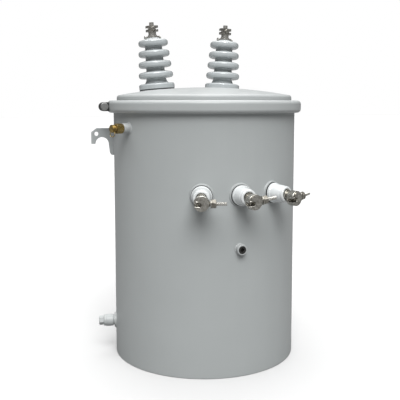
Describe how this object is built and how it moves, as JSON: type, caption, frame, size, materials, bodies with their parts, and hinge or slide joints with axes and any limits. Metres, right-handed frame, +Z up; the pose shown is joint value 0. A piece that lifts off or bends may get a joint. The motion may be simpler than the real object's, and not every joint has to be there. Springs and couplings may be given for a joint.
{
  "type": "pole mounted transformer",
  "caption": "Cylindrical oil-filled distribution transformer with a clamped domed cover, ribbed top bushings, side terminals, relief valve, drain and rear pole hangers.",
  "frame": {"origin": "on the tank's axis at its flat base", "axes": "+Z up along the tank's axis, low-voltage terminals towards -Y, pole hangers towards +Y"},
  "size_m": [0.5946, 0.639, 0.9231],
  "materials": {
    "grey_paint": "satin light grey enamel",
    "grey_porcelain": "glossy sky-grey glaze",
    "white_porcelain": "glossy white glaze",
    "gasket_rubber": "matt black",
    "tinned_bronze": "dull tin plate over cast bronze",
    "valve_brass": "dull machined brass",
    "zinc_steel": "zinc plated, dull",
    "dark_steel": "oiled dark steel",
    "core_steel": "varnished core and windings"
  },
  "bodies": {
    "root": {"tank_wall": "grey_paint", "tank_bottom": "grey_paint", "core_and_coils": "core_steel", "cover": "grey_paint", "cover_gasket": "gasket_rubber", "cover_band": "grey_paint", "band_bolt": "zinc_steel", "band_nut": "zinc_steel", "hv_bushing_left": "grey_porcelain", "hv_bushing_right": "grey_porcelain", "hv_gasket_left": "gasket_rubber", "hv_gasket_right": "gasket_rubber", "hv_cap_left": "tinned_bronze", "hv_cap_right": "tinned_bronze", "hv_clamp_left": "tinned_bronze", "hv_clamp_right": "tinned_bronze", "hv_screw_left": "tinned_bronze", "hv_screw_right": "tinned_bronze", "lv_bushing_1": "white_porcelain", "lv_bushing_2": "white_porcelain", "lv_bushing_3": "white_porcelain", "lv_gasket_1": "gasket_rubber", "lv_gasket_2": "gasket_rubber", "lv_gasket_3": "gasket_rubber", "lv_stud_1": "tinned_bronze", "lv_stud_2": "tinned_bronze", "lv_stud_3": "tinned_bronze", "lv_eyebolt_1": "tinned_bronze", "lv_eyebolt_2": "tinned_bronze", "lv_eyebolt_3": "tinned_bronze", "lv_nut_1": "tinned_bronze", "lv_nut_2": "tinned_bronze", "lv_nut_3": "tinned_bronze", "relief_coupling": "grey_paint", "relief_valve": "valve_brass", "relief_ring": "valve_brass", "drain_coupling": "grey_paint", "drain_valve": "grey_paint", "drain_plug": "zinc_steel", "side_coupling": "grey_paint", "side_plug": "dark_steel", "lifting_lug_left": "grey_paint", "lifting_lug_right": "grey_paint", "upper_hanger": "grey_paint", "lower_hanger": "grey_paint"}
  },
  "joints": []
}
